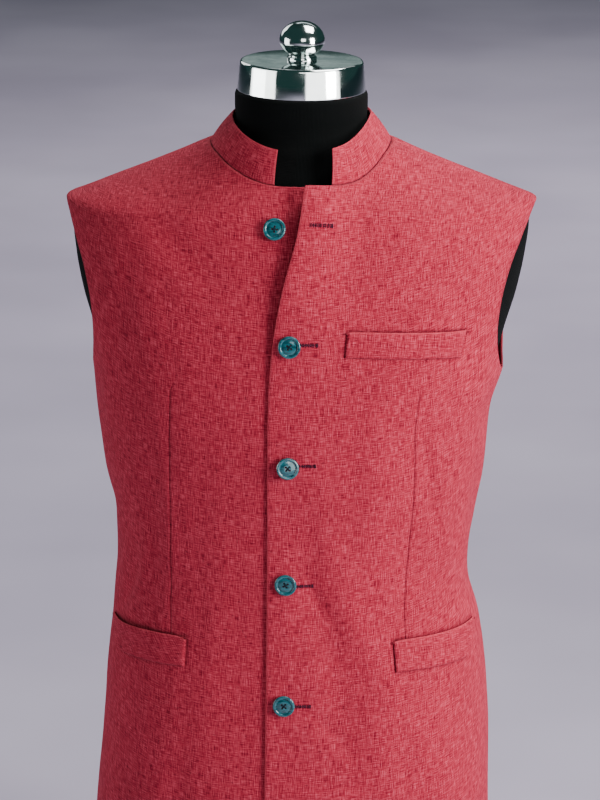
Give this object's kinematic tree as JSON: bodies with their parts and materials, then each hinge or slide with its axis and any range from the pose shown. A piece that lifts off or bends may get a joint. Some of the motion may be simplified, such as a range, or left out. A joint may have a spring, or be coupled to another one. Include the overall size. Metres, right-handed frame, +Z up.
{
  "type": "nehru jacket on a dress form",
  "caption": "Sleeveless band-collar jacket in red slub linen, worn by a limbless black dress form with a chrome neck cap, on a round table stand.",
  "frame": {"origin": "middle of the underside of the stand's base, on the surface it stands on", "axes": "+Z up, -Y out of the front of the jacket, +X towards the wearer's left"},
  "size_m": [0.4311, 0.32, 0.961],
  "materials": {
    "linen": "matte slub linen, brick red",
    "button": "polished dark teal resin",
    "jersey": "black stretch jersey",
    "chrome": "polished chrome"
  },
  "bodies": {
    "root": {"front_left": "linen", "front_right": "linen", "back": "linen", "collar": "linen", "chest_welt": "linen", "pocket_welt_left": "linen", "pocket_welt_right": "linen", "button_1": "button", "button_2": "button", "button_3": "button", "button_4": "button", "button_5": "button", "form_torso": "jersey", "neck_cap": "chrome", "neck_knob": "chrome", "pole": "chrome", "pole_socket": "chrome", "base": "chrome"}
  },
  "joints": []
}
